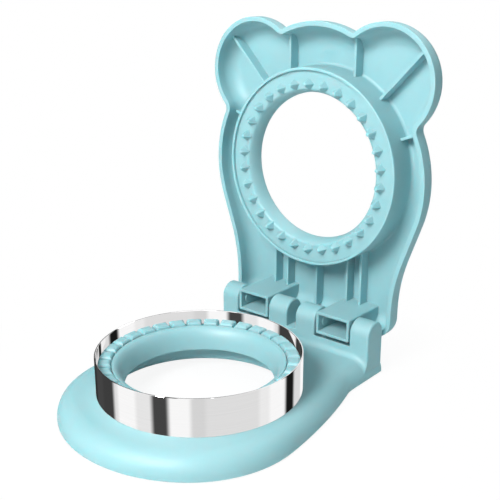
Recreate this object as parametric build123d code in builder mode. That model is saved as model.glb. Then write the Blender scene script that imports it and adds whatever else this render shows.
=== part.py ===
"""Sandwich cutter and sealer, in millimetres, with +Z up.

A base carries a steel cutting ring with a plastic crimping ring inside it. A lid with a toothed
crimping ring swings over them about four stub pins. The part is modelled with the lid open and
upright. The origin is on the table, under the middle of the whole part's bounding box, and -Y is
the front.
"""
import os
from math import acos, atan2, cos, degrees, hypot, radians, sin, sqrt

from build123d import *

os.makedirs("parts", exist_ok=True)

# Cutting ring, which sets the size of all that works on the bread
ring_radius = 45.0
ring_wall = 0.6
ring_top_z = 26.5
ring_flange_width = 1.8
ring_edge_chamfer = 0.15

# Hinge
hinge_margin = 26.9  # cutting ring to hinge axis
hinge_z = 21.06
lug_radius = 6.4
lug_edge_round = 0.9
inner_lug_inner_x = 2.7
inner_lug_width = 11.4
outer_lug_width = 10.2
outer_lug_inset = 0.5  # side of the cutting ring to the outer face of an outer lug
lug_slot_floor_z = 15.0
pin_radius = 2.8
pin_chamfer = 0.4
pin_end_wall = 3.0
pin_proud = 0.4
pin_hold_clearance = 0.02
pin_turn_clearance = 0.07

# Base
foot_height = 0.6
base_top_z = 9.8
base_wall = 2.4
base_edge_land = 0.7  # upright foot of the edge, under its bullnose
base_front_sweep = 35.0
base_shoulder_tightness = 13.4  # front radius to shoulder radius
base_flank_radius = 250.0
base_waist_radius = 17.0
base_side_length = 24.91  # straight part of the side, up to the rear face
base_side_step = 0.4  # outer lug to the side of the base
deck_fit = 0.05
block_fillet = 2.8
base_rib_wall = 1.6
base_rib_pitch = 14.0
base_rib_count = 5
base_cross_rib_inset = 7.9  # hinge axis to the cross rib
bay_wall = 1.6
bay_clearance = 0.6

# Lower crimping ring
die_gap = 0.5
die_wall = 1.9
die_top_z = 22.8
die_block_width = 5.7
die_block_count = 32
die_first_groove_angle = 7.2
die_groove_width = 1.2
die_groove_depth = 2.8
die_block_shoulder = 1.6
die_bowl_groove = 0.4
die_bowl_drop = 1.3  # block top to bowl top
die_bowl_width = 5.1
die_lip_z = 11.8
die_bowl_wall = 1.8
die_flange_margin = 7.0  # cutting ring to the flange's edge
die_flange_bottom_z = 1.2
die_flange_thickness = 1.6
die_mouth_round = 3.0
clamp_rib_inset = 0.4

# Clamp screws
screw_count = 6
screw_first_angle = 30.0
screw_margin = 4.6  # cutting ring to the screws' axes
screw_radius = 1.3
screw_head_radius = 2.1
screw_tip_depth = 1.0  # base top to screw tip
screw_thread_clearance = 0.02
screw_hole_clearance = 0.15
screw_boss_wall = 1.4
screw_slot_length = 2.7
screw_slot_width = 0.6
screw_slot_depth = 0.7

# Feet
foot_radius = 3.2
foot_thickness = 2.0
foot_edge_round = 0.4
foot_fit = 0.05
foot_pad_wall = 1.2
front_foot_margin = 1.3  # front foot to the edge of the base
front_foot_angle = 45.0
rear_foot_side_inset = 6.4  # side of the base to a rear foot
rear_foot_inset = 7.5  # rear face of the base to a rear foot

# Lid
lid_gap = 8.9  # hinge axis to the lid's rim
lid_depth = 13.4
lid_wall = 2.1
lid_floor = 2.0
lid_round = 9.2
lid_round_play = 0.2  # by which the tail's corners and the hollow differ from the round
lid_bottom_z = 15.5
lid_tail_top_z = 28.54  # where the straight sides of the tail end
ear_margin = 11.1  # cutting ring, turned up, to an ear's centre
ear_centre_angle = 49.8
ear_radius = 25.7
forehead_margin = 22.64  # cutting ring, turned up, to the top edge
forehead_radius = 45.0
cheek_margin = 11.29
cheek_x = 3.79
cheek_drop = 2.59
neck_angle = 19.1
neck_waist_radius = 82.1
crown_notch_round = 1.5
cheek_notch_round = 4.0

# Lid ribs
rib_wall = 1.2
rib_height = 5.95
middle_rib_bottom_z = 21.0
neck_rib_inset = 3.3  # side of the knuckle box to the first rib
neck_rib_pitch = 7.8
forehead_rib_x = 18.4
ear_rib_angle = 47.0
cheek_rib_angle = 22.0

# Lid collar and knuckle boxes
collar_clearance = 1.1  # cutting ring to collar, with the lid closed
collar_wall = 1.3
collar_stand = 4.3  # rim to the collar's lip
collar_lip_round = 0.4
collar_root_fillet = 1.5
knuckle_side_clearance = 0.8
knuckle_front = 5.9  # hinge axis to the box's open front
knuckle_bottom = 4.86  # hinge axis to the box's underside
knuckle_top = 6.14
knuckle_wall = 1.3
knuckle_corner_round = 0.8
cradle_clearance = 0.3
stop_gap = 0.14
stop_length = 1.0

# Upper crimping ring
bed_step = 1.4  # collar lip to the bed
bed_wall = 1.8
insert_fit = 0.1
bed_width = 8.0
insert_funnel_width = 2.7
insert_funnel_depth = 7.6
bead_height = 0.3
bead_half_width = 0.6
bead_depth = 10.1  # bed to the bead's crest
bead_clearance = 0.1
tooth_count = 30
tooth_first_angle = 7.1
tooth_inset = 6.3  # outside of the ring to the teeth's middles
tooth_reach = 2.9  # to the corners that point in and out
tooth_half_width = 2.9
tooth_height = 3.9
tooth_root = 1.6
tooth_tip_share = 0.34
tooth_fillet = 0.5

overrun = 1.0

# Places that follow from the sizes
hinge_reach = ring_radius + hinge_margin
lid_rim_reach = hinge_reach + lid_gap
lid_back_reach = lid_rim_reach + lid_depth
die_flange_radius = ring_radius + die_flange_margin
bay_radius = die_flange_radius + bay_clearance
front_foot_reach = bay_radius + bay_wall + foot_radius
base_radius = front_foot_reach + foot_radius + front_foot_margin
base_shoulder_radius = base_radius - base_shoulder_tightness
ring_y = (base_radius - lid_back_reach) / 2
hinge_y = ring_y + hinge_reach
lid_rim_y = ring_y + lid_rim_reach
lid_back_y = ring_y + lid_back_reach
lid_floor_y = lid_back_y - lid_floor
lid_ring_z = hinge_z + hinge_reach
base_rear_y = hinge_y + lug_radius
inner_lug_outer_x = inner_lug_inner_x + inner_lug_width
outer_lug_outer_x = ring_radius - outer_lug_inset
outer_lug_inner_x = outer_lug_outer_x - outer_lug_width
pin_hold_length = outer_lug_width - pin_end_wall
base_side_x = outer_lug_outer_x + base_side_step
base_height = base_top_z - foot_height
base_bullnose = base_height - base_edge_land
cross_rib_y = hinge_y - base_cross_rib_inset
deck_bottom_z = base_top_z - base_wall
block_front_y = hinge_y - lug_radius
die_radius = ring_radius - ring_wall - die_gap
die_inner_radius = die_radius - die_wall
die_block_inner_radius = die_radius - die_block_width
die_bowl_radius = die_block_inner_radius - die_bowl_groove
die_lip_radius = die_bowl_radius - die_bowl_width
die_bowl_top_z = die_top_z - die_bowl_drop
die_flange_top_z = die_flange_bottom_z + die_flange_thickness
ring_flange_radius = ring_radius + ring_flange_width
ring_flange_bottom_z = deck_bottom_z - ring_wall
screw_circle_radius = ring_radius + screw_margin
screw_head_height = screw_head_radius - screw_radius
screw_tip_z = base_top_z - screw_tip_depth
screw_boss_radius = screw_radius + screw_boss_wall
collar_inner_radius = ring_radius + collar_clearance
collar_outer_radius = collar_inner_radius + collar_wall
collar_lip_y = lid_rim_y - collar_stand
bed_y = collar_lip_y + bed_step
insert_radius = collar_inner_radius - insert_fit
skirt_inner_radius = insert_radius - bed_wall
bed_inner_radius = insert_radius - bed_width
insert_hole_radius = bed_inner_radius - insert_funnel_width
tooth_ring_radius = insert_radius - tooth_inset
bead_y = bed_y + bead_depth
knuckle_inner_x = inner_lug_outer_x + knuckle_side_clearance
knuckle_outer_x = outer_lug_inner_x - knuckle_side_clearance
knuckle_x = (knuckle_inner_x + knuckle_outer_x) / 2
knuckle_width = knuckle_outer_x - knuckle_inner_x
knuckle_height = knuckle_bottom + knuckle_top
knuckle_z = hinge_z + (knuckle_top - knuckle_bottom) / 2
knuckle_front_y = hinge_y - knuckle_front
cradle_radius = hypot(knuckle_front, knuckle_top) + cradle_clearance
stop_z = hinge_z - knuckle_bottom - stop_gap
lid_tail_round = lid_round + lid_round_play
lid_inner_round = lid_round - lid_wall - lid_round_play
ear_reach = ring_radius + ear_margin
ear_x = ear_reach * cos(radians(ear_centre_angle))
ear_z = lid_ring_z + ear_reach * sin(radians(ear_centre_angle))
forehead_z = lid_ring_z + ring_radius + forehead_margin - forehead_radius
cheek_radius = ring_radius + cheek_margin
cheek_z = lid_ring_z - cheek_drop
neck_drop = cheek_z - lid_tail_top_z - (cheek_radius + neck_waist_radius) * sin(radians(neck_angle))
neck_line = neck_drop / cos(radians(neck_angle))
neck_rib_inner_x = knuckle_inner_x + neck_rib_inset
neck_rib_outer_x = neck_rib_inner_x + neck_rib_pitch
rib_reach = ear_reach + ear_radius
foot_top_z = foot_thickness
rear_foot_x = base_side_x - rear_foot_side_inset
rear_foot_y = base_rear_y - rear_foot_inset
front_foot_x = front_foot_reach * sin(radians(front_foot_angle))
front_foot_y = ring_y - front_foot_reach * cos(radians(front_foot_angle))
foot_places = {
    "foot_front_left": (-front_foot_x, front_foot_y),
    "foot_front_right": (front_foot_x, front_foot_y),
    "foot_rear_left": (-rear_foot_x, rear_foot_y),
    "foot_rear_right": (rear_foot_x, rear_foot_y),
}

ring_axis = Axis((0, ring_y, 0), (0, 0, 1))
ring_section = Plane(origin=(0, ring_y, 0), x_dir=(1, 0, 0), z_dir=(0, -1, 0))
insert_axis = Axis((0, 0, lid_ring_z), (0, 1, 0))
insert_section = Plane.XY.offset(lid_ring_z)


def facing_front(y):
    """Plane at y whose normal points to the front, with X to the right and Z up."""
    return Plane(origin=(0, y, 0), x_dir=(1, 0, 0), z_dir=(0, -1, 0))


def circles_meet(first, first_radius, second, second_radius):
    """Point on the right of the line from the first centre to the second where two circles cross."""
    across = second[0] - first[0]
    up = second[1] - first[1]
    span = hypot(across, up)
    along = (span**2 + first_radius**2 - second_radius**2) / (2 * span)
    aside = sqrt(first_radius**2 - along**2)
    x = first[0] + (across * along + up * aside) / span
    z = first[1] + (up * along - across * aside) / span
    return x, z


def angle_from(centre, point):
    """Angle of a point about a centre, in degrees."""
    return degrees(atan2(point[1] - centre[1], point[0] - centre[0]))


def base_outline(inset):
    """Outline of the base, seen from above, moved inwards by inset."""
    shoulder_centre_x = base_shoulder_tightness * sin(radians(base_front_sweep))
    shoulder_centre_y = ring_y - base_shoulder_tightness * cos(radians(base_front_sweep))
    flank_span = base_flank_radius - base_shoulder_radius
    waist_span = base_flank_radius + base_waist_radius
    across = base_side_x + base_waist_radius - shoulder_centre_x
    along = base_rear_y - base_side_length - shoulder_centre_y
    reach = hypot(across, along)
    opening = degrees(acos((waist_span**2 - flank_span**2 - reach**2) / (2 * flank_span * reach)))
    flank_turn = degrees(atan2(along, across)) - opening
    shoulder_sweep = 90 - base_front_sweep + flank_turn
    waist_turn = degrees(acos((across + flank_span * cos(radians(flank_turn))) / waist_span))
    flank_sweep = waist_turn - flank_turn
    with BuildSketch() as outline:
        with BuildLine():
            front_y = ring_y - base_radius + inset
            front = JernArc((0, front_y), (1, 0), base_radius - inset, base_front_sweep)
            shoulder = JernArc(front @ 1, front % 1, base_shoulder_radius - inset, shoulder_sweep)
            flank = JernArc(shoulder @ 1, shoulder % 1, base_flank_radius - inset, flank_sweep)
            waist = JernArc(flank @ 1, flank % 1, base_waist_radius + inset, -waist_turn)
            side = Line(waist @ 1, ((waist @ 1).X, base_rear_y - inset))
            Line(side @ 1, (0, base_rear_y - inset))
            mirror(about=Plane.YZ)
        make_face()
    return outline.sketch


def lid_outline(inset):
    """Outline of the lid, seen from the front with Z as the sketch's Y, moved inwards by inset."""
    ear = (ear_x, ear_z)
    forehead = (0, forehead_z)
    cheek = (cheek_x, cheek_z)
    inset_ear = ear_radius - inset
    inset_forehead = forehead_radius - inset
    inset_cheek = cheek_radius - inset
    crown_notch = circles_meet(ear, inset_ear, forehead, inset_forehead)
    cheek_notch = circles_meet(cheek, inset_cheek, ear, inset_ear)
    ear_start = angle_from(ear, crown_notch)
    ear_sweep = angle_from(ear, cheek_notch) - ear_start
    cheek_start = angle_from(cheek, cheek_notch)
    with BuildSketch() as outline:
        with BuildLine():
            CenterArc(forehead, inset_forehead, 90, angle_from(forehead, crown_notch) - 90)
            CenterArc(ear, inset_ear, ear_start, ear_sweep)
            side = CenterArc(cheek, inset_cheek, cheek_start, -neck_angle - cheek_start)
            neck = Line(side @ 1, (side @ 1) + (side % 1) * neck_line)
            waist = JernArc(neck @ 1, neck % 1, neck_waist_radius + inset, neck_angle)
            tail = Line(waist @ 1, ((waist @ 1).X, lid_bottom_z + inset))
            Line(tail @ 1, (0, lid_bottom_z + inset))
            mirror(about=Plane.YZ)
        make_face()
        corners = (
            (crown_notch, crown_notch_round + inset),
            (cheek_notch, cheek_notch_round + inset),
            (((tail @ 1).X, lid_bottom_z + inset), lid_tail_round - inset),
        )
        for (corner_x, corner_z), corner_round in corners:
            for corner in ((corner_x, corner_z), (-corner_x, corner_z)):
                fillet(outline.vertices().sort_by_distance(corner)[0], corner_round)
    return outline.sketch


# Hollow under the deck, as a solid of its own
with BuildPart() as base_hollow:
    with BuildSketch(Plane.XY.offset(foot_height)):
        add(base_outline(base_wall))
    extrude(amount=deck_bottom_z - foot_height)
    fillet(base_hollow.faces().sort_by(Axis.Z)[-1].edges().sort_by(Axis.Y)[:-1], base_bullnose - base_wall)

# What stands in the hollow: the bay's wall, screw bosses, foot pads and ribs behind the bay
with BuildPart() as base_inside:
    with BuildSketch(Plane.XY.offset(foot_height)):
        with Locations((0, ring_y)):
            Circle(bay_radius + bay_wall)
            Circle(bay_radius, mode=Mode.SUBTRACT)
        for foot_place in foot_places.values():
            with Locations(foot_place):
                Circle(foot_radius + foot_fit + foot_pad_wall)
    extrude(amount=deck_bottom_z - foot_height)
    with BuildSketch(Plane.XY.offset(foot_height)):
        with Locations((0, base_rear_y - base_radius / 2)):
            with GridLocations(base_rib_pitch, base_radius, base_rib_count, 1):
                Rectangle(base_rib_wall, base_radius)
        with Locations((0, cross_rib_y)):
            Rectangle(2 * base_side_x, base_rib_wall)
        with Locations((0, ring_y)):
            Circle(bay_radius + bay_wall / 2, mode=Mode.SUBTRACT)
    extrude(amount=deck_bottom_z - foot_height)
    with BuildSketch(Plane.XY.offset(die_flange_top_z)):
        with Locations((0, ring_y)):
            with PolarLocations(screw_circle_radius, screw_count, start_angle=screw_first_angle):
                Circle(screw_boss_radius)
    extrude(amount=deck_bottom_z - die_flange_top_z)
    add(base_hollow.part, mode=Mode.INTERSECT)

# Cross-sections of the hinge block, looking along X
cradle_front_z = hinge_z - sqrt(cradle_radius**2 - lug_radius**2)
stop_inner_y = base_rear_y - stop_length
cradle_rear_z = hinge_z - sqrt(cradle_radius**2 - (stop_inner_y - hinge_y) ** 2)
cradle_start_angle = angle_from((hinge_y, hinge_z), (block_front_y, cradle_front_z))
cradle_sweep = angle_from((hinge_y, hinge_z), (stop_inner_y, cradle_rear_z)) - cradle_start_angle
block_bottom_z = base_top_z - base_bullnose

# Hollow rounding where the front of the hinge block meets the deck and its rounded sides
bullnose_x = base_side_x - base_bullnose
with BuildPart() as block_root:
    for root_start, root_length in ((0, bullnose_x), (bullnose_x, 0)):
        with BuildSketch(Plane.YZ.offset(root_start)):
            with BuildLine():
                root_arc = CenterArc(
                    (block_front_y - block_fillet, base_top_z + block_fillet), block_fillet, 270, 90
                )
                Polyline(
                    root_arc @ 1,
                    (block_front_y + base_wall, base_top_z + block_fillet),
                    (block_front_y + base_wall, base_top_z - base_wall / 2),
                    (block_front_y - block_fillet, base_top_z - base_wall / 2),
                    root_arc @ 0,
                )
            make_face()
        if root_length:
            extrude(amount=root_length)
        else:
            revolve(axis=Axis((bullnose_x, 0, block_bottom_z), (0, 1, 0)), revolution_arc=90)
    split(bisect_by=Plane.YZ.offset(outer_lug_outer_x), keep=Keep.BOTTOM)
    mirror(about=Plane.YZ)

with BuildPart() as base_shell:
    with BuildSketch(Plane.XY.offset(foot_height)):
        add(base_outline(0))
    extrude(amount=base_height)
    fillet(base_shell.faces().sort_by(Axis.Z)[-1].edges().sort_by(Axis.Y)[:-1], base_bullnose)
    add(base_hollow.part, mode=Mode.SUBTRACT)
    add(base_inside.part)

    # Cradle under each knuckle box, with the stop along its rear edge
    for cradle_x in (-outer_lug_inner_x, inner_lug_outer_x):
        with BuildSketch(Plane.YZ.offset(cradle_x)):
            with BuildLine():
                Polyline(
                    (block_front_y, cradle_front_z),
                    (block_front_y, block_bottom_z),
                    (base_rear_y, block_bottom_z),
                    (base_rear_y, stop_z),
                    (stop_inner_y, stop_z),
                    (stop_inner_y, cradle_rear_z),
                )
                CenterArc((hinge_y, hinge_z), cradle_radius, cradle_start_angle, cradle_sweep)
            make_face()
        extrude(amount=outer_lug_inner_x - inner_lug_outer_x)

    # Floor of the slot between the inner lugs
    with BuildSketch(Plane.YZ.offset(-inner_lug_inner_x)):
        with Locations((hinge_y, (block_bottom_z + lug_slot_floor_z) / 2)):
            Rectangle(2 * lug_radius, lug_slot_floor_z - block_bottom_z)
    extrude(amount=2 * inner_lug_inner_x)

    # Half-round lugs
    lug_spans = (
        (-outer_lug_outer_x, outer_lug_width),
        (-inner_lug_outer_x, inner_lug_width),
        (inner_lug_inner_x, inner_lug_width),
        (outer_lug_inner_x, outer_lug_width),
    )
    for lug_start, lug_width in lug_spans:
        with BuildSketch(Plane.YZ.offset(lug_start)):
            with Locations((hinge_y, (block_bottom_z + hinge_z) / 2)):
                Rectangle(2 * lug_radius, hinge_z - block_bottom_z)
            with Locations((hinge_y, hinge_z)):
                Circle(lug_radius)
        extrude(amount=lug_width)

    # Soft edges on the lugs, before the block's root is joined on
    lug_crowns = (
        base_shell.edges()
        .filter_by(GeomType.CIRCLE)
        .filter_by(lambda edge: abs(edge.radius - lug_radius) < deck_fit)
    )
    fillet(lug_crowns, lug_edge_round)
    add(block_root.part)

    # Hole round the cutting ring
    with BuildSketch(Plane.XY.offset(deck_bottom_z)):
        with Locations((0, ring_y)):
            Circle(ring_radius + deck_fit)
    extrude(amount=base_wall + overrun, mode=Mode.SUBTRACT)

    # Blind holes for the pins, from the faces of the lugs that look at the knuckle boxes
    for hole_start in (
        -outer_lug_inner_x - pin_hold_length,
        -inner_lug_outer_x,
        inner_lug_outer_x - pin_hold_length,
        outer_lug_inner_x,
    ):
        with BuildSketch(Plane.YZ.offset(hole_start)):
            with Locations((hinge_y, hinge_z)):
                Circle(pin_radius + pin_hold_clearance)
        extrude(amount=pin_hold_length, mode=Mode.SUBTRACT)

    # Thread holes and foot recesses, from below
    with BuildSketch(Plane.XY.offset(die_flange_top_z)):
        with Locations((0, ring_y)):
            with PolarLocations(screw_circle_radius, screw_count, start_angle=screw_first_angle):
                Circle(screw_radius + screw_thread_clearance)
    extrude(amount=screw_tip_z - die_flange_top_z, mode=Mode.SUBTRACT)
    with BuildSketch(Plane.XY.offset(foot_height)):
        for foot_place in foot_places.values():
            with Locations(foot_place):
                Circle(foot_radius + foot_fit)
    extrude(amount=foot_top_z - foot_height, mode=Mode.SUBTRACT)

base_shell.part.label = "base_shell"
export_step(base_shell.part, "parts/base_shell.step")

# Steel ring with a flange turned outwards under the deck
with BuildPart() as cutting_ring:
    with BuildSketch(ring_section):
        with BuildLine():
            Polyline(
                (ring_radius - ring_wall, ring_flange_bottom_z),
                (ring_flange_radius, ring_flange_bottom_z),
                (ring_flange_radius, deck_bottom_z),
                (ring_radius, deck_bottom_z),
                (ring_radius, ring_top_z - ring_edge_chamfer),
                (ring_radius - ring_edge_chamfer, ring_top_z),
                (ring_radius - ring_wall + ring_edge_chamfer, ring_top_z),
                (ring_radius - ring_wall, ring_top_z - ring_edge_chamfer),
                close=True,
            )
        make_face()
    revolve(axis=ring_axis)
cutting_ring.part.label = "cutting_ring"
export_step(cutting_ring.part, "parts/cutting_ring.step")

# One groove between two blocks of the lower crimping ring, along +X from the ring axis
shoulder_z = die_top_z - die_block_shoulder
shoulder_x = die_groove_width / 2 + die_block_shoulder
with BuildPart() as die_groove:
    with BuildSketch(Plane.YZ.offset(die_bowl_radius)):
        with BuildLine():
            left_shoulder = CenterArc((-shoulder_x, shoulder_z), die_block_shoulder, 90, -90)
            right_shoulder = CenterArc((shoulder_x, shoulder_z), die_block_shoulder, 180, -90)
            Polyline(
                left_shoulder @ 1,
                (-die_groove_width / 2, die_top_z - die_groove_depth),
                (die_groove_width / 2, die_top_z - die_groove_depth),
                right_shoulder @ 0,
            )
            Polyline(
                right_shoulder @ 1,
                (shoulder_x, die_top_z + overrun),
                (-shoulder_x, die_top_z + overrun),
                left_shoulder @ 0,
            )
        make_face()
    extrude(amount=die_block_width + overrun)

with BuildPart() as lower_crimp_ring:
    with BuildSketch(ring_section):
        with BuildLine():
            Polyline(
                (die_inner_radius + die_mouth_round, die_flange_bottom_z),
                (die_flange_radius, die_flange_bottom_z),
                (die_flange_radius, die_flange_top_z),
                (ring_flange_radius, die_flange_top_z),
                (ring_flange_radius, ring_flange_bottom_z),
                (ring_radius + clamp_rib_inset, ring_flange_bottom_z),
                (ring_radius + clamp_rib_inset, die_flange_top_z),
                (die_radius, die_flange_top_z),
                (die_radius, shoulder_z),
            )
            CenterArc((die_radius - die_block_shoulder, shoulder_z), die_block_shoulder, 0, 90)
            Line(
                (die_radius - die_block_shoulder, die_top_z),
                (die_block_inner_radius + die_block_shoulder, die_top_z),
            )
            CenterArc((die_block_inner_radius + die_block_shoulder, shoulder_z), die_block_shoulder, 90, 90)
            Polyline(
                (die_block_inner_radius, shoulder_z),
                (die_block_inner_radius, die_top_z - die_groove_depth),
                (die_bowl_radius, die_top_z - die_groove_depth),
                (die_bowl_radius, die_bowl_top_z),
            )
            EllipticalCenterArc(
                (die_bowl_radius, die_lip_z),
                die_bowl_radius - die_lip_radius,
                die_bowl_top_z - die_lip_z,
                start_angle=90,
                arc_size=90,
            )
            CenterArc((die_lip_radius + die_bowl_wall / 2, die_lip_z), die_bowl_wall / 2, 180, 180)
            EllipticalCenterArc(
                (die_bowl_radius, die_lip_z),
                die_bowl_radius - die_lip_radius - die_bowl_wall,
                die_bowl_top_z - die_lip_z - die_bowl_wall,
                start_angle=90,
                arc_size=90,
            )
            Polyline(
                (die_bowl_radius, die_bowl_top_z - die_bowl_wall),
                (die_inner_radius, die_bowl_top_z - die_bowl_wall),
                (die_inner_radius, die_flange_bottom_z + die_mouth_round),
            )
            CenterArc(
                (die_inner_radius + die_mouth_round, die_flange_bottom_z + die_mouth_round),
                die_mouth_round,
                180,
                90,
            )
        make_face()
    revolve(axis=ring_axis)
    with Locations((0, ring_y, 0)):
        with PolarLocations(0, die_block_count, start_angle=die_first_groove_angle):
            add(die_groove.part, mode=Mode.SUBTRACT)
    with Locations((0, ring_y, die_flange_bottom_z)):
        with PolarLocations(screw_circle_radius, screw_count, start_angle=screw_first_angle):
            Cylinder(
                screw_radius + screw_hole_clearance,
                die_flange_thickness,
                align=(Align.CENTER, Align.CENTER, Align.MIN),
                mode=Mode.SUBTRACT,
            )
            Cone(
                screw_head_radius + screw_hole_clearance,
                screw_radius + screw_hole_clearance,
                screw_head_height,
                align=(Align.CENTER, Align.CENTER, Align.MIN),
                mode=Mode.SUBTRACT,
            )
lower_crimp_ring.part.label = "lower_crimp_ring"
export_step(lower_crimp_ring.part, "parts/lower_crimp_ring.step")

# Six countersunk screws, up through the lower crimping ring's flange into the base
with BuildPart() as clamp_screw:
    Cylinder(
        screw_radius,
        screw_tip_z - die_flange_bottom_z,
        align=(Align.CENTER, Align.CENTER, Align.MIN),
    )
    Cone(
        screw_head_radius,
        screw_radius,
        screw_head_height,
        align=(Align.CENTER, Align.CENTER, Align.MIN),
    )
    for slot_turn in (0, 90):
        Box(
            screw_slot_length,
            screw_slot_width,
            screw_slot_depth,
            rotation=(0, 0, slot_turn),
            align=(Align.CENTER, Align.CENTER, Align.MIN),
            mode=Mode.SUBTRACT,
        )

with BuildPart() as clamp_screws:
    with Locations((0, ring_y, die_flange_bottom_z)):
        with PolarLocations(screw_circle_radius, screw_count, start_angle=screw_first_angle):
            add(clamp_screw.part)
clamp_screws.part.label = "clamp_screws"
export_step(clamp_screws.part, "parts/clamp_screws.step")

# Four silicone feet in recesses of the base
for foot_name, (foot_x, foot_y) in foot_places.items():
    with BuildPart() as foot:
        with BuildSketch():
            with Locations((foot_x, foot_y)):
                Circle(foot_radius)
        extrude(amount=foot_thickness)
        fillet(foot.edges().group_by(Axis.Z)[0], foot_edge_round)
    foot.part.label = foot_name
    export_step(foot.part, f"parts/{foot_name}.step")

# Four stub pins, each held in a lug and running in one side wall of a knuckle box
pin_length = pin_hold_length + knuckle_side_clearance + knuckle_wall + pin_proud
pin_starts = {
    "hinge_pin_left_outer": -outer_lug_inner_x - pin_hold_length,
    "hinge_pin_left_inner": -inner_lug_outer_x + pin_hold_length - pin_length,
    "hinge_pin_right_inner": inner_lug_outer_x - pin_hold_length,
    "hinge_pin_right_outer": outer_lug_inner_x + pin_hold_length - pin_length,
}
for pin_name, pin_start in pin_starts.items():
    with BuildPart() as pin:
        with BuildSketch(Plane.YZ.offset(pin_start)):
            with Locations((hinge_y, hinge_z)):
                Circle(pin_radius)
        extrude(amount=pin_length)
        chamfer(pin.edges().filter_by(GeomType.CIRCLE), pin_chamfer)
    pin.part.label = pin_name
    export_step(pin.part, f"parts/{pin_name}.step")

# Hollow of the lid, as a solid of its own
with BuildPart() as lid_hollow:
    with BuildSketch(facing_front(lid_floor_y)):
        add(lid_outline(lid_wall))
    extrude(amount=lid_depth - lid_floor)
    fillet(lid_hollow.faces().sort_by(Axis.Y)[-1].edges(), lid_inner_round)

# What stands in the hollow: ribs and the rear parts of the knuckle boxes
with BuildPart() as lid_inside:
    with BuildSketch(facing_front(lid_floor_y)) as rib_lines:
        with Locations((0, (middle_rib_bottom_z + lid_ring_z - collar_inner_radius) / 2)):
            Rectangle(rib_wall, lid_ring_z - collar_inner_radius - middle_rib_bottom_z)
        for rib_x in (-neck_rib_outer_x, -neck_rib_inner_x, neck_rib_inner_x, neck_rib_outer_x):
            with Locations((rib_x, (knuckle_z + lid_ring_z) / 2)):
                Rectangle(rib_wall, lid_ring_z - knuckle_z)
        for rib_x in (-forehead_rib_x, forehead_rib_x):
            with Locations((rib_x, (lid_ring_z + ear_z + ear_radius) / 2)):
                Rectangle(rib_wall, ear_z + ear_radius - lid_ring_z)
        for rib_angle in (ear_rib_angle, cheek_rib_angle, 180 - cheek_rib_angle, 180 - ear_rib_angle):
            with Locations((0, lid_ring_z)):
                with PolarLocations(rib_reach / 2, 1, start_angle=rib_angle):
                    Rectangle(rib_reach, rib_wall)
        with Locations((0, lid_ring_z)):
            Circle(collar_outer_radius - collar_wall / 2, mode=Mode.SUBTRACT)
    extrude(amount=rib_height)
    for box_x in (-knuckle_x, knuckle_x):
        with BuildSketch(facing_front(lid_floor_y)):
            with Locations((box_x, knuckle_z)):
                RectangleRounded(knuckle_width, knuckle_height, knuckle_corner_round)
        extrude(amount=lid_floor_y - lid_rim_y)
        with BuildSketch(facing_front(lid_floor_y)):
            with Locations((box_x, knuckle_z)):
                Rectangle(knuckle_width - 2 * knuckle_wall, knuckle_height - 2 * knuckle_wall)
        extrude(amount=lid_floor_y - lid_rim_y, mode=Mode.SUBTRACT)
    add(lid_hollow.part, mode=Mode.INTERSECT)

with BuildPart() as lid_shell:
    with BuildSketch(facing_front(lid_back_y)):
        add(lid_outline(0))
    extrude(amount=lid_depth)
    fillet(lid_shell.faces().sort_by(Axis.Y)[-1].edges(), lid_round)
    add(lid_hollow.part, mode=Mode.SUBTRACT)

    # Collar round the upper crimping ring
    with BuildSketch(facing_front(lid_floor_y)):
        with Locations((0, lid_ring_z)):
            Circle(collar_outer_radius)
    extrude(amount=lid_floor_y - collar_lip_y)
    collar_root = (
        lid_shell.edges()
        .filter_by(GeomType.CIRCLE)
        .filter_by(lambda edge: abs(edge.radius - collar_outer_radius) < insert_fit)
    )
    fillet(collar_root.group_by(Axis.Y)[-1], collar_root_fillet)
    fillet(collar_root.group_by(Axis.Y)[0], collar_lip_round)
    with BuildSketch(insert_section):
        with BuildLine():
            Polyline(
                (0, collar_lip_y - overrun),
                (collar_inner_radius, collar_lip_y - overrun),
                (collar_inner_radius, bead_y - bead_half_width - bead_clearance),
                (collar_inner_radius + bead_height + bead_clearance / 2, bead_y),
                (collar_inner_radius, bead_y + bead_half_width + bead_clearance),
                (collar_inner_radius, lid_floor_y),
                (skirt_inner_radius, lid_floor_y),
                (skirt_inner_radius, lid_back_y + overrun),
                (0, lid_back_y + overrun),
                close=True,
            )
        make_face()
    revolve(axis=insert_axis, mode=Mode.SUBTRACT)

    # Front parts of the knuckle boxes, with a pin hole through each side wall
    for box_x in (-knuckle_x, knuckle_x):
        with BuildSketch(facing_front(lid_rim_y + lid_wall)):
            with Locations((box_x, knuckle_z)):
                RectangleRounded(knuckle_width, knuckle_height, knuckle_corner_round)
        extrude(amount=lid_rim_y + lid_wall - knuckle_front_y)
    add(lid_inside.part)
    for box_x in (-knuckle_x, knuckle_x):
        with BuildSketch(facing_front(lid_floor_y - rib_height)):
            with Locations((box_x, knuckle_z)):
                Rectangle(knuckle_width - 2 * knuckle_wall, knuckle_height - 2 * knuckle_wall)
        extrude(amount=lid_floor_y - rib_height - knuckle_front_y, mode=Mode.SUBTRACT)
        with BuildSketch(Plane.YZ.offset(box_x - knuckle_width / 2)):
            with Locations((hinge_y, hinge_z)):
                Circle(pin_radius + pin_turn_clearance)
        extrude(amount=knuckle_width, mode=Mode.SUBTRACT)
lid_shell.part.label = "lid_shell"
export_step(lid_shell.part, "parts/lid_shell.step")

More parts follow.
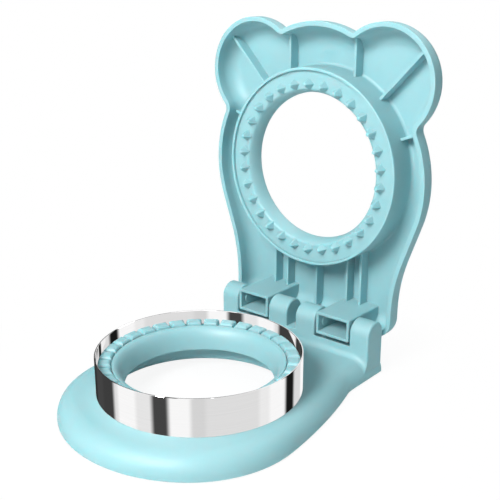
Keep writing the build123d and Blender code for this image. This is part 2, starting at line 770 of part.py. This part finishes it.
# One tooth of the upper crimping ring, with +X outwards and +Z towards its tip
tooth_points = (
    (-tooth_reach, 0),
    (0, -tooth_half_width),
    (tooth_reach, 0),
    (0, tooth_half_width),
)
with BuildPart() as tooth:
    with BuildSketch():
        Polygon(*tooth_points, align=None)
    with BuildSketch(Plane.XY.offset(tooth_height)):
        Polygon(*[(x * tooth_tip_share, y * tooth_tip_share) for x, y in tooth_points], align=None)
    loft()
    fillet(tooth.edges().filter_by(lambda edge: edge.bounding_box().max.Z > 0), tooth_fillet)
    extrude(tooth.faces().sort_by(Axis.Z)[0], tooth_root)

with BuildPart() as upper_crimp_ring:
    funnel_y = bed_y + insert_funnel_depth
    with BuildSketch(insert_section):
        with BuildLine():
            Polyline(
                (bed_inner_radius, bed_y),
                (insert_radius, bed_y),
                (insert_radius, bead_y - bead_half_width),
                (insert_radius + bead_height, bead_y),
                (insert_radius, bead_y + bead_half_width),
                (insert_radius, lid_floor_y),
                (skirt_inner_radius, lid_floor_y),
                (skirt_inner_radius, bed_y + bed_wall),
                (bed_inner_radius, bed_y + bed_wall),
            )
            EllipticalCenterArc(
                (bed_inner_radius, funnel_y),
                insert_funnel_width - bed_wall,
                insert_funnel_depth - bed_wall,
                start_angle=180,
                arc_size=90,
            )
            CenterArc((insert_hole_radius + bed_wall / 2, funnel_y), bed_wall / 2, 0, 180)
            EllipticalCenterArc(
                (bed_inner_radius, funnel_y),
                insert_funnel_width,
                insert_funnel_depth,
                start_angle=180,
                arc_size=90,
            )
        make_face()
    revolve(axis=insert_axis)
    with Locations(Plane(origin=(0, bed_y, lid_ring_z), x_dir=(1, 0, 0), z_dir=(0, -1, 0))):
        with PolarLocations(tooth_ring_radius, tooth_count, start_angle=tooth_first_angle):
            add(tooth.part)
upper_crimp_ring.part.label = "upper_crimp_ring"
export_step(upper_crimp_ring.part, "parts/upper_crimp_ring.step")
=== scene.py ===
"""Finishes, small details and studio stage for the sandwich cutter and sealer."""

from math import cos, pi, radians, sin

import bmesh
import bpy
from bpy.props import FloatProperty, FloatVectorProperty, PointerProperty
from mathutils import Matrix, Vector


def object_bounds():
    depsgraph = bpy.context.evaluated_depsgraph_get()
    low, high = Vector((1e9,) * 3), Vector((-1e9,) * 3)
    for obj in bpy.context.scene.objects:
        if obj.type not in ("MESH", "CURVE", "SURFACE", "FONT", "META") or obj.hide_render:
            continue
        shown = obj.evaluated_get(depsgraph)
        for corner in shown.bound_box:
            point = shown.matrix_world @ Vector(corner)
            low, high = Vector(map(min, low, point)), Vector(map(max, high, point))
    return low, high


bl_info = {
    "name": "Sandwich cutter and sealer",
    "version": (1, 0, 0),
    "blender": (4, 5, 0),
    "location": "View3D > Sidebar > Cutter",
    "description": "Dresses the parts of a hinged sandwich cutter and lights them in a pale studio",
    "category": "Object",
}

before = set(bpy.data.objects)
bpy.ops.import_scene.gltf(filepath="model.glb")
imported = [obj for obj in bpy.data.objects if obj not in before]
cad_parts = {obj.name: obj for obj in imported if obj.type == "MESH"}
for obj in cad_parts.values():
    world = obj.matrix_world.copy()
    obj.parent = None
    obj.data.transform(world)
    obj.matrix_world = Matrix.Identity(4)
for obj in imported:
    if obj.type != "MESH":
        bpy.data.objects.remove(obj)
cad_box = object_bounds()

MM = 0.001

# The view of the photograph, in its 500 by 500 pixel frame
CAMERA_PLACE = Vector((229.73, -257.90, 180.28)) * MM
CAMERA_AZIMUTH = radians(39.77)
CAMERA_ELEVATION = radians(18.08)
SENSOR_WIDTH = 36.0
LENS = 60.58

# Lamps round the object: name, azimuth, elevation, distance, width, height, share of the key's power
LAMPS = (
    ("key_lamp", 2, 39, 0.75, 0.30, 0.30, 1.0),
    ("side_lamp", 75, 25, 0.80, 0.40, 0.50, 0.03),
    ("top_lamp", 20, 85, 0.70, 0.60, 0.60, 0.14),
    ("back_lamp", 170, 50, 0.90, 0.50, 0.50, 0.32),
)

# What the polished ring mirrors all round: each stretch starts at an azimuth, turning from +X to +Y
SURROUND = (
    (0, 0.77),
    (20, 0.88),
    (34, 1.0),
    (60, 0.01),
    (78, 0.75),
    (100, 1.0),
    (130, 0.03),
    (163, 0.06),
    (184, 0.05),
    (207, 0.78),
    (214, 1.0),
    (240, 0.84),
    (260, 0.06),
    (279, 1.0),
    (303, 0.70),
    (319, 0.77),
)
SURROUND_SOFTNESS = 5.0

# Polishing lines of the steel: lines along each axis in a metre, and their depth
RING_LINES = (40, 40, 9000)
RING_LINE_DEPTH = 0.0001 * MM
SCREW_LINES = (900, 900, 900)
SCREW_LINE_DEPTH = 0.004 * MM
SCREW_WIPE_MARKS = 0.2

# Shares of the shells' roughness on the other moulded pieces
CRIMP_ROUGHNESS_SHARE = 0.9
PIN_ROUGHNESS_SHARE = 0.8

FLOOR_SEGMENTS = 64

SHELL_NODES = ("base_shell", "lid_shell")
CRIMP_NODES = ("lower_crimp_ring", "upper_crimp_ring")
PIN_NODES = tuple(f"hinge_pin_{side}_{place}" for side in ("left", "right") for place in ("inner", "outer"))
FOOT_NODES = tuple(f"foot_{end}_{side}" for end in ("front", "rear") for side in ("left", "right"))


class CutterPlastic(bpy.types.PropertyGroup):
    """Moulded plastic of the shells, the crimp rings and the pins"""

    colour: FloatVectorProperty(
        name="Colour",
        description="Colour of the plastic",
        subtype="COLOR",
        size=4,
        min=0,
        max=1,
        default=(0.305, 0.555, 0.592, 1),
    )
    tint: FloatVectorProperty(
        name="Tint",
        description="Colour of the faint flow marks in the plastic",
        subtype="COLOR",
        size=4,
        min=0,
        max=1,
        default=(0.325, 0.575, 0.612, 1),
    )
    # Painted highlight: this lighter colour is mixed onto the rounded edges to make them look lit.
    edge: FloatVectorProperty(
        name="Edge",
        description="Colour of the rounded and highlighted edges",
        subtype="COLOR",
        size=4,
        min=0,
        max=1,
        default=(0.50, 0.72, 0.75, 1),
    )
    roughness: FloatProperty(
        name="Roughness", description="How matt the plastic is", default=0.52, min=0, max=1
    )
    grain_size: FloatProperty(
        name="Grain size",
        description="Width of one grain of the mould's spark-eroded texture",
        default=0.35 * MM,
        unit="LENGTH",
    )
    grain_depth: FloatProperty(
        name="Grain depth",
        description="Depth of the mould's texture",
        default=0.012 * MM,
        unit="LENGTH",
    )
    edge_radius: FloatProperty(
        name="Edge radius",
        description="Radius of the moulded edges that are too small for the solids",
        default=0.3 * MM,
        unit="LENGTH",
    )


class CutterSilicone(bpy.types.PropertyGroup):
    """Soft silicone of the feet"""

    colour: FloatVectorProperty(
        name="Colour",
        description="Colour of the silicone",
        subtype="COLOR",
        size=4,
        min=0,
        max=1,
        default=(0.42, 0.66, 0.68, 1),
    )
    tint: FloatVectorProperty(
        name="Tint",
        description="Colour of the faint flow marks in the silicone",
        subtype="COLOR",
        size=4,
        min=0,
        max=1,
        default=(0.46, 0.69, 0.71, 1),
    )
    # Painted highlight: this lighter colour is mixed onto the silicone's rounded edges to make them look
    # lit.
    edge: FloatVectorProperty(
        name="Edge",
        description="Colour of the silicone's rounded edges",
        subtype="COLOR",
        size=4,
        min=0,
        max=1,
        default=(0.55, 0.76, 0.78, 1),
    )
    roughness: FloatProperty(
        name="Roughness", description="How matt the silicone is", default=0.65, min=0, max=1
    )


class CutterMetal(bpy.types.PropertyGroup):
    """Stainless steel of the cutting ring and the screws"""

    colour: FloatVectorProperty(
        name="Colour",
        description="Colour of the steel",
        subtype="COLOR",
        size=4,
        min=0,
        max=1,
        default=(0.96, 0.955, 0.955, 1),
    )
    polish: FloatProperty(
        name="Polish", description="Roughness of the mirror-polished ring", default=0.0, min=0, max=1
    )
    screw_roughness: FloatProperty(
        name="Screw roughness", description="Roughness of the plain screws", default=0.32, min=0, max=1
    )


class CutterStudio(bpy.types.PropertyGroup):
    """Light and floor of the studio"""

    key_power: FloatProperty(
        name="Key power", description="Power of the key lamp", default=7.2, unit="POWER"
    )
    ambient: FloatProperty(
        name="Ambient", description="Strength of the light from all round", default=0.17, min=0
    )
    ambient_colour: FloatVectorProperty(
        name="Ambient colour",
        description="Colour of the light from all round",
        subtype="COLOR",
        size=4,
        min=0,
        max=1,
        default=(0.75, 0.95, 1, 1),
    )
    floor_glow: FloatProperty(
        name="Floor glow",
        description="Share of the floor's white that shadows don't darken, under the object",
        default=0.86,
        min=0,
        max=1,
    )
    glow_reach: FloatProperty(
        name="Glow reach",
        description="Distance from the middle at which shadows have faded from the floor",
        default=0.14,
        unit="LENGTH",
    )
    floor_radius: FloatProperty(
        name="Floor radius", description="Radius of the round floor", default=4.0, unit="LENGTH"
    )


def add_node(tree, kind, inputs=None, **settings):
    """Adds a shader node, sets its options and fills or links its named inputs."""
    node = tree.nodes.new(kind)
    for name, value in settings.items():
        setattr(node, name, value)
    for name, value in (inputs or {}).items():
        if isinstance(value, bpy.types.NodeSocket):
            tree.links.new(value, node.inputs[name])
        else:
            node.inputs[name].default_value = value
    return node


def start_group(name, inputs, outputs):
    """Makes a shader node group with these (socket, kind) inputs and outputs."""
    group = bpy.data.node_groups.new(name, "ShaderNodeTree")
    for socket, kind in inputs:
        group.interface.new_socket(socket, in_out="INPUT", socket_type=kind)
    for socket, kind in outputs:
        group.interface.new_socket(socket, in_out="OUTPUT", socket_type=kind)
    given = group.nodes.new("NodeGroupInput")
    result = group.nodes.new("NodeGroupOutput")
    return group, given.outputs, result


def mix_colours(tree, factor, first, second):
    """Colour that goes from the first to the second as the factor goes from 0 to 1."""
    mix = add_node(tree, "ShaderNodeMix", data_type="RGBA")
    factor_socket, first_socket, second_socket = (mix.inputs[place] for place in (0, 6, 7))
    tree.links.new(factor, factor_socket)
    tree.links.new(first, first_socket)
    tree.links.new(second, second_socket)
    return mix.outputs[2]


def spread_about(tree, mask, middle, spread):
    """Roughness that a 0 to 1 mask moves to either side of its middle value."""
    centred = add_node(tree, "ShaderNodeMath", {0: mask, 1: 0.5}, operation="SUBTRACT")
    return add_node(
        tree,
        "ShaderNodeMath",
        {0: centred.outputs[0], 1: spread, 2: middle},
        operation="MULTIPLY_ADD",
    ).outputs[0]


def moulded_skin():
    """Skin of a moulded part: flow marks, the mould's grain and small rounded edges, which get a painted
    highlight.
    """
    name = "Moulded skin"
    if name in bpy.data.node_groups:
        return bpy.data.node_groups[name]
    group, given, result = start_group(
        name,
        (
            ("Colour", "NodeSocketColor"),
            ("Tint", "NodeSocketColor"),
            ("Edge", "NodeSocketColor"),
            ("Roughness", "NodeSocketFloat"),
            ("Grain Size", "NodeSocketFloat"),
            ("Grain Depth", "NodeSocketFloat"),
            ("Edge Radius", "NodeSocketFloat"),
        ),
        (
            ("Colour", "NodeSocketColor"),
            ("Roughness", "NodeSocketFloat"),
            ("Normal", "NodeSocketVector"),
        ),
    )
    place = add_node(group, "ShaderNodeTexCoord").outputs["Object"]
    flow = add_node(
        group,
        "ShaderNodeTexNoise",
        {"Vector": place, "Scale": 26.0, "Detail": 3.0, "Roughness": 0.55, "Distortion": 0.8},
    ).outputs["Fac"]
    flowed = mix_colours(group, flow, given["Colour"], given["Tint"])
    fineness = add_node(group, "ShaderNodeMath", {0: 1.0, 1: given["Grain Size"]}, operation="DIVIDE")
    grain = add_node(
        group,
        "ShaderNodeTexNoise",
        {"Vector": place, "Scale": fineness.outputs[0], "Detail": 2.0, "Roughness": 0.6},
    ).outputs["Fac"]
    rounded = add_node(group, "ShaderNodeBevel", {"Radius": given["Edge Radius"]}, samples=6).outputs[0]
    flat = add_node(group, "ShaderNodeNewGeometry").outputs["Normal"]
    facing = add_node(
        group, "ShaderNodeVectorMath", {0: rounded, 1: flat}, operation="DOT_PRODUCT"
    ).outputs["Value"]
    # Painted highlight: where the rounded normal leans away from the flat one, the colour moves towards the
    # lighter edge colour.
    edge_highlight_mask = add_node(
        group,
        "ShaderNodeMapRange",
        {"Value": facing, "From Min": 0.98, "From Max": 0.75, "To Min": 0.0, "To Max": 0.6},
    ).outputs[0]
    coloured = mix_colours(group, edge_highlight_mask, flowed, given["Edge"])
    bump = add_node(
        group,
        "ShaderNodeBump",
        {"Strength": 1.0, "Distance": given["Grain Depth"], "Height": grain, "Normal": rounded},
    )
    group.links.new(coloured, result.inputs["Colour"])
    group.links.new(spread_about(group, flow, given["Roughness"], 0.12), result.inputs["Roughness"])
    group.links.new(bump.outputs["Normal"], result.inputs["Normal"])
    return group


def polished_skin():
    """Skin of worked steel: polishing lines along one axis and faint wipe marks."""
    name = "Polished skin"
    if name in bpy.data.node_groups:
        return bpy.data.node_groups[name]
    group, given, result = start_group(
        name,
        (
            ("Colour", "NodeSocketColor"),
            ("Roughness", "NodeSocketFloat"),
            ("Line Scale", "NodeSocketVector"),
            ("Line Depth", "NodeSocketFloat"),
            ("Wipe Marks", "NodeSocketFloat"),
        ),
        (
            ("Colour", "NodeSocketColor"),
            ("Roughness", "NodeSocketFloat"),
            ("Normal", "NodeSocketVector"),
        ),
    )
    place = add_node(group, "ShaderNodeTexCoord").outputs["Object"]
    stretched = add_node(
        group, "ShaderNodeMapping", {"Vector": place, "Scale": given["Line Scale"]}
    ).outputs["Vector"]
    lines = add_node(
        group,
        "ShaderNodeTexNoise",
        {"Vector": stretched, "Scale": 1.0, "Detail": 4.0, "Roughness": 0.7},
    ).outputs["Fac"]
    wipes = add_node(
        group,
        "ShaderNodeTexNoise",
        {"Vector": place, "Scale": 60.0, "Detail": 5.0, "Roughness": 0.65, "Distortion": 1.5},
    ).outputs["Fac"]
    shade = add_node(
        group,
        "ShaderNodeMapRange",
        {"Value": lines, "From Min": 0.3, "From Max": 0.7, "To Min": 0.94, "To Max": 1.0},
    ).outputs[0]
    coloured = add_node(
        group,
        "ShaderNodeVectorMath",
        {0: given["Colour"], "Scale": shade},
        operation="SCALE",
    ).outputs["Vector"]
    bump = add_node(
        group,
        "ShaderNodeBump",
        {"Strength": 1.0, "Distance": given["Line Depth"], "Height": lines},
    )
    group.links.new(coloured, result.inputs["Colour"])
    group.links.new(
        spread_about(group, wipes, given["Roughness"], given["Wipe Marks"]), result.inputs["Roughness"]
    )
    group.links.new(bump.outputs["Normal"], result.inputs["Normal"])
    return group


def start_material(name, **shader_values):
    """A material with one Principled shader whose plain values are set on its own sockets."""
    material = bpy.data.materials.new(name)
    material.use_nodes = True
    shader = material.node_tree.nodes["Principled BSDF"]
    for socket, value in shader_values.items():
        shader.inputs[socket.replace("_", " ").title().replace("Ior", "IOR")].default_value = value
    return material, shader


def skin_material(name, group, group_values, **shader_values):
    """A material that takes its colour, roughness and normal from a skin group."""
    material, shader = start_material(name, **shader_values)
    tree = material.node_tree
    skin = add_node(tree, "ShaderNodeGroup", group_values, node_tree=group)
    tree.links.new(skin.outputs["Colour"], shader.inputs["Base Color"])
    tree.links.new(skin.outputs["Roughness"], shader.inputs["Roughness"])
    tree.links.new(skin.outputs["Normal"], shader.inputs["Normal"])
    return material


def plastic_material(name, settings, roughness_share=1.0):
    """Moulded teal plastic, with a share of the usual roughness."""
    return skin_material(
        name,
        moulded_skin(),
        {
            "Colour": settings.colour,
            "Tint": settings.tint,
            "Edge": settings.edge,
            "Roughness": settings.roughness * roughness_share,
            "Grain Size": settings.grain_size,
            "Grain Depth": settings.grain_depth,
            "Edge Radius": settings.edge_radius,
        },
        specular_ior_level=0.8,
        subsurface_weight=0.6,
        subsurface_radius=(0.25, 1.0, 1.1),
        subsurface_scale=2.0 * MM,
    )


def steel_material(name, colour, roughness, line_scale, line_depth, wipe_marks):
    """Stainless steel with polishing lines of their own direction and depth."""
    return skin_material(
        name,
        polished_skin(),
        {
            "Colour": colour,
            "Roughness": roughness,
            "Line Scale": line_scale,
            "Line Depth": line_depth,
            "Wipe Marks": wipe_marks,
        },
        metallic=1.0,
    )


def dress(node, material):
    """Gives a solid of the frame this material in a single slot."""
    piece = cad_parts[node]
    piece.data.materials.clear()
    piece.data.materials.append(material)
    return piece


def keep_out_of_mirrors(*nodes):
    """Keeps the solids of these nodes out of what the polished ring mirrors."""
    for node in nodes:
        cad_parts[node].visible_glossy = False


class CUTTER_OT_shells(bpy.types.Operator):
    """Dresses the base and the lid in moulded plastic"""

    bl_idname = "cutter.shells"
    bl_label = "Dress the shells"

    def execute(self, context):
        plastic = plastic_material("Teal plastic of the shells", context.scene.cutter_plastic)
        for node in SHELL_NODES:
            dress(node, plastic)
        return {"FINISHED"}


class CUTTER_OT_crimp_rings(bpy.types.Operator):
    """Dresses the two crimp rings in a slightly smoother plastic"""

    bl_idname = "cutter.crimp_rings"
    bl_label = "Dress the crimp rings"

    def execute(self, context):
        plastic = plastic_material(
            "Teal plastic of the rings", context.scene.cutter_plastic, CRIMP_ROUGHNESS_SHARE
        )
        for node in CRIMP_NODES:
            dress(node, plastic)
        return {"FINISHED"}


class CUTTER_OT_cutting_ring(bpy.types.Operator):
    """Dresses the cutting ring in mirror-polished steel"""

    bl_idname = "cutter.cutting_ring"
    bl_label = "Dress the cutting ring"

    def execute(self, context):
        metal = context.scene.cutter_metal
        polished = steel_material(
            "Polished steel", metal.colour, metal.polish, RING_LINES, RING_LINE_DEPTH, wipe_marks=0.0
        )
        dress("cutting_ring", polished)
        keep_out_of_mirrors(*SHELL_NODES, *CRIMP_NODES, *PIN_NODES, *FOOT_NODES, "clamp_screws")
        return {"FINISHED"}


class CUTTER_OT_hinge_pins(bpy.types.Operator):
    """Dresses the four stub pins in plain acetal plastic"""

    bl_idname = "cutter.hinge_pins"
    bl_label = "Dress the hinge pins"

    def execute(self, context):
        acetal = plastic_material(
            "Teal acetal of the pins", context.scene.cutter_plastic, PIN_ROUGHNESS_SHARE
        )
        for node in PIN_NODES:
            dress(node, acetal)
        return {"FINISHED"}


class CUTTER_OT_screws(bpy.types.Operator):
    """Dresses the six clamp screws in plain stainless steel"""

    bl_idname = "cutter.screws"
    bl_label = "Dress the screws"

    def execute(self, context):
        metal = context.scene.cutter_metal
        turned = steel_material(
            "Turned steel",
            metal.colour,
            metal.screw_roughness,
            SCREW_LINES,
            SCREW_LINE_DEPTH,
            SCREW_WIPE_MARKS,
        )
        dress("clamp_screws", turned)
        return {"FINISHED"}


class CUTTER_OT_feet(bpy.types.Operator):
    """Dresses the four feet in soft silicone"""

    bl_idname = "cutter.feet"
    bl_label = "Dress the feet"

    def execute(self, context):
        plastic = context.scene.cutter_plastic
        settings = context.scene.cutter_silicone
        silicone = skin_material(
            "Silicone",
            moulded_skin(),
            {
                "Colour": settings.colour,
                "Tint": settings.tint,
                "Edge": settings.edge,
                "Roughness": settings.roughness,
                "Grain Size": plastic.grain_size,
                "Grain Depth": plastic.grain_depth,
                "Edge Radius": plastic.edge_radius,
            },
            specular_ior_level=0.3,
        )
        for node in FOOT_NODES:
            dress(node, silicone)
        return {"FINISHED"}


def from_angles(azimuth, elevation):
    """Unit vector towards a place seen at an azimuth from -Y, turning to +X, and an elevation."""
    return Vector((sin(azimuth) * cos(elevation), -cos(azimuth) * cos(elevation), sin(elevation)))


def add_camera(scene):
    """The camera at the photograph's place and angle."""
    camera = bpy.data.objects.new("camera", bpy.data.cameras.new("camera"))
    camera.data.lens = LENS
    camera.data.sensor_width = SENSOR_WIDTH
    camera.data.clip_start = 0.01
    camera.location = CAMERA_PLACE
    camera.rotation_mode = "QUATERNION"
    camera.rotation_quaternion = from_angles(CAMERA_AZIMUTH, CAMERA_ELEVATION).to_track_quat("Z", "Y")
    scene.collection.objects.link(camera)
    scene.camera = camera


def add_lamps(scene, key_power):
    """The soft lamps round the object."""
    middle = (cad_box[0] + cad_box[1]) / 2
    for name, azimuth, elevation, distance, width, height, share in LAMPS:
        lamp = bpy.data.objects.new(name, bpy.data.lights.new(name, "AREA"))
        lamp.data.shape = "RECTANGLE"
        lamp.data.size = width
        lamp.data.size_y = height
        lamp.data.energy = key_power * share
        towards = from_angles(radians(azimuth), radians(elevation))
        lamp.location = middle + towards * distance
        lamp.rotation_mode = "QUATERNION"
        lamp.rotation_quaternion = towards.to_track_quat("Z", "Y")
        scene.collection.objects.link(lamp)


def surround_colour(tree):
    """Colour of the surround at the azimuth of a ray, from the stretches in SURROUND."""
    direction = add_node(tree, "ShaderNodeTexCoord").outputs["Generated"]
    axes = add_node(tree, "ShaderNodeSeparateXYZ", {"Vector": direction}).outputs
    azimuth = add_node(tree, "ShaderNodeMath", {0: axes["Y"], 1: axes["X"]}, operation="ARCTAN2")
    turned = add_node(
        tree,
        "ShaderNodeMath",
        {0: azimuth.outputs[0], 1: 2 * pi, 2: 0.0},
        operation="WRAP",
    )
    share = add_node(tree, "ShaderNodeMath", {0: turned.outputs[0], 1: 2 * pi}, operation="DIVIDE")
    ramp = add_node(tree, "ShaderNodeValToRGB", {"Fac": share.outputs[0]})
    stops = ramp.color_ramp.elements
    first_shade = SURROUND[0][1]
    stops[0].color = (first_shade, first_shade, first_shade, 1)
    stops[1].color = (first_shade, first_shade, first_shade, 1)
    shade_before = first_shade
    for start, shade in SURROUND[1:]:
        before = start - SURROUND_SOFTNESS / 2
        after = start + SURROUND_SOFTNESS / 2
        for angle, level in ((before, shade_before), (after, shade)):
            stops.new(radians(angle) / (2 * pi)).color = (level, level, level, 1)
        shade_before = shade
    return ramp.outputs["Color"]


def add_world(scene, ambient, ambient_colour):
    """White to the camera, the surround to a perfect mirror and even light to everything else."""
    world = bpy.data.worlds.new("Studio")
    scene.world = world
    world.use_nodes = True
    tree = world.node_tree
    tree.nodes.clear()
    rays = add_node(tree, "ShaderNodeLightPath").outputs
    even = add_node(tree, "ShaderNodeBackground", {"Color": ambient_colour, "Strength": ambient})
    mirrored = add_node(tree, "ShaderNodeBackground", {"Color": surround_colour(tree)})
    white = add_node(tree, "ShaderNodeBackground", {"Color": (1, 1, 1, 1)})
    lit = add_node(
        tree,
        "ShaderNodeMixShader",
        {0: rays["Is Singular Ray"], 1: even.outputs[0], 2: mirrored.outputs[0]},
    )
    seen = add_node(
        tree, "ShaderNodeMixShader", {0: rays["Is Camera Ray"], 1: lit.outputs[0], 2: white.outputs[0]}
    )
    output = tree.nodes.new("ShaderNodeOutputWorld")
    tree.links.new(seen.outputs[0], output.inputs["Surface"])


def add_floor(scene, radius, glow, glow_reach):
    """A round white floor that keeps a soft shadow near the object and that mirrors don't see."""
    mesh = bpy.data.meshes.new("floor")
    disc = bmesh.new()
    bmesh.ops.create_circle(disc, cap_ends=True, segments=FLOOR_SEGMENTS, radius=radius)
    disc.to_mesh(mesh)
    disc.free()
    floor = bpy.data.objects.new("floor", mesh)
    floor.visible_glossy = False
    material, shader = start_material("Floor", base_color=(0.9, 0.9, 0.9, 1), roughness=0.9)
    tree = material.node_tree
    white = add_node(tree, "ShaderNodeEmission", {"Color": (1, 1, 1, 1), "Strength": 1.0})
    place = add_node(tree, "ShaderNodeTexCoord").outputs["Object"]
    from_middle = add_node(tree, "ShaderNodeVectorMath", {0: place}, operation="LENGTH").outputs["Value"]
    local_glow = add_node(
        tree,
        "ShaderNodeMapRange",
        {"Value": from_middle, "From Min": 0.0, "From Max": glow_reach, "To Min": glow, "To Max": 1.0},
    ).outputs[0]
    seen_glow = add_node(
        tree,
        "ShaderNodeMath",
        {0: add_node(tree, "ShaderNodeLightPath").outputs["Is Camera Ray"], 1: local_glow},
        operation="MULTIPLY",
    )
    mixed = add_node(
        tree,
        "ShaderNodeMixShader",
        {0: seen_glow.outputs[0], 1: shader.outputs[0], 2: white.outputs[0]},
    )
    tree.links.new(mixed.outputs[0], tree.nodes["Material Output"].inputs["Surface"])
    mesh.materials.append(material)
    scene.collection.objects.link(floor)


class CUTTER_OT_stage(bpy.types.Operator):
    """Sets up the camera, the lamps, the surround and the pale floor"""

    bl_idname = "cutter.stage"
    bl_label = "Set up the stage"

    def execute(self, context):
        scene = context.scene
        studio = scene.cutter_studio
        scene.view_settings.view_transform = "Standard"
        add_camera(scene)
        add_lamps(scene, studio.key_power)
        add_world(scene, studio.ambient, studio.ambient_colour)
        add_floor(scene, studio.floor_radius, studio.floor_glow, studio.glow_reach)
        return {"FINISHED"}


OPERATORS = (
    CUTTER_OT_shells,
    CUTTER_OT_crimp_rings,
    CUTTER_OT_cutting_ring,
    CUTTER_OT_hinge_pins,
    CUTTER_OT_screws,
    CUTTER_OT_feet,
    CUTTER_OT_stage,
)
SETTINGS = {
    "cutter_plastic": CutterPlastic,
    "cutter_silicone": CutterSilicone,
    "cutter_metal": CutterMetal,
    "cutter_studio": CutterStudio,
}


class CUTTER_PT_panel(bpy.types.Panel):
    """Lists the settings and the operators"""

    bl_idname = "CUTTER_PT_panel"
    bl_label = "Sandwich cutter"
    bl_space_type = "VIEW_3D"
    bl_region_type = "UI"
    bl_category = "Cutter"

    def draw(self, context):
        for name, group in SETTINGS.items():
            for setting in group.__annotations__:
                self.layout.prop(getattr(context.scene, name), setting)
        for operator in OPERATORS:
            self.layout.operator(operator.bl_idname)


def register():
    for made in (*SETTINGS.values(), *OPERATORS, CUTTER_PT_panel):
        bpy.utils.register_class(made)
    for name, group in SETTINGS.items():
        setattr(bpy.types.Scene, name, PointerProperty(type=group))


def unregister():
    for name in SETTINGS:
        delattr(bpy.types.Scene, name)
    for made in (CUTTER_PT_panel, *reversed(OPERATORS), *SETTINGS.values()):
        bpy.utils.unregister_class(made)


def main():
    register()
    bpy.ops.cutter.shells()
    bpy.ops.cutter.crimp_rings()
    bpy.ops.cutter.cutting_ring()
    bpy.ops.cutter.hinge_pins()
    bpy.ops.cutter.screws()
    bpy.ops.cutter.feet()
    bpy.ops.cutter.stage()


if __name__ == "__main__":
    main()
